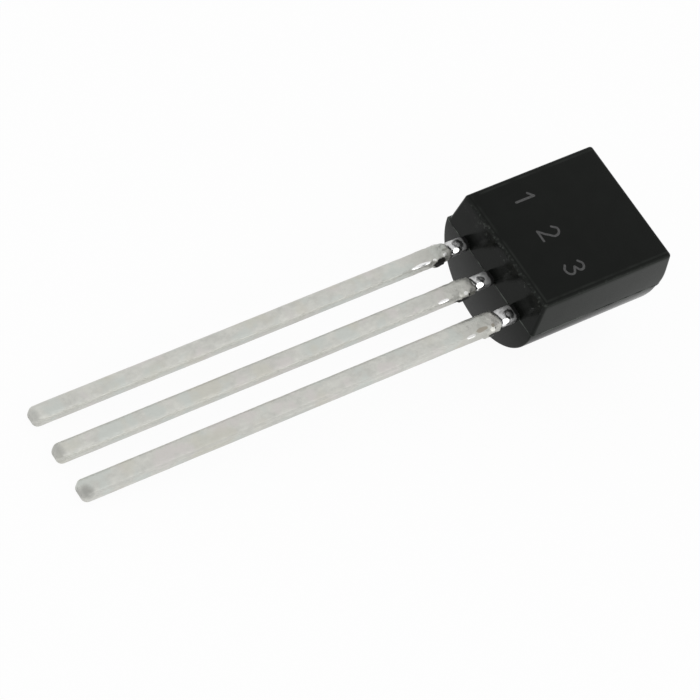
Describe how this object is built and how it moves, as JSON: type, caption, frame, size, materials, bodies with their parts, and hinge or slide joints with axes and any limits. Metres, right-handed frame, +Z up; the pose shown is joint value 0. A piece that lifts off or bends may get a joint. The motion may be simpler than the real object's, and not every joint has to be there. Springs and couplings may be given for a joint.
{
  "type": "transistor",
  "caption": "Small through-hole transistor: a black moulded case with a flat front and a round back, on long straight tinned leads in a row.",
  "frame": {"origin": "on the surface the part lies on, under the middle of its outer box", "axes": "+X along the part from the tips of the leads to the case, +Z up, out of the flat; +Y from the collector lead to the emitter lead"},
  "size_m": [0.019, 0.0044, 0.004],
  "materials": {
    "case": "black epoxy, satin with a fine sparkle of filler",
    "lead": "dull hot-dipped tin, bright on the bare neck at the case",
    "die_attach": "silver-filled bond layer, sealed in the case",
    "die": "polished silicon, sealed in the case",
    "bond_wire": "fine gold wire, sealed in the case"
  },
  "bodies": {
    "root": {"body": "case", "emitter_lead": "lead", "base_lead": "lead", "collector_lead": "lead", "die_attach": "die_attach", "die": "die", "emitter_wire": "bond_wire", "base_wire": "bond_wire"}
  },
  "joints": []
}
